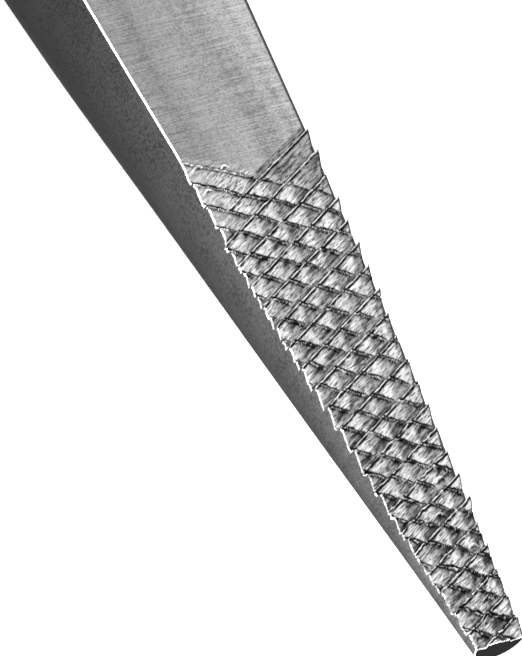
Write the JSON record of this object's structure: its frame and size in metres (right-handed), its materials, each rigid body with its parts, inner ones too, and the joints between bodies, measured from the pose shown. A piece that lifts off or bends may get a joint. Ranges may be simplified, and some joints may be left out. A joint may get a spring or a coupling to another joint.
{
  "type": "wood rasp",
  "caption": "Small half-round wood rasp: tapered steel blade with a cross-cut flat face and a round back, tang in a ferruled wooden handle.",
  "frame": {"origin": "bottom centre of the whole tool's box, on the plane of the handle's lower flat", "axes": "+X along the tool towards the tip, +Z the outward side of the flat toothed face, +Y across the blade"},
  "size_m": [0.2214, 0.03, 0.024],
  "materials": {
    "blade_steel": "ground bright on the toothed face, dark forge-black on the round back",
    "ferrule_brass": "polished, lightly tarnished",
    "brad_brass": "hammered heads",
    "handle_wood": "turned beech, oiled"
  },
  "bodies": {
    "root": {"rasp_blade": "blade_steel", "ferrule": "ferrule_brass", "ferrule_brads": "brad_brass", "handle": "handle_wood"}
  },
  "joints": []
}
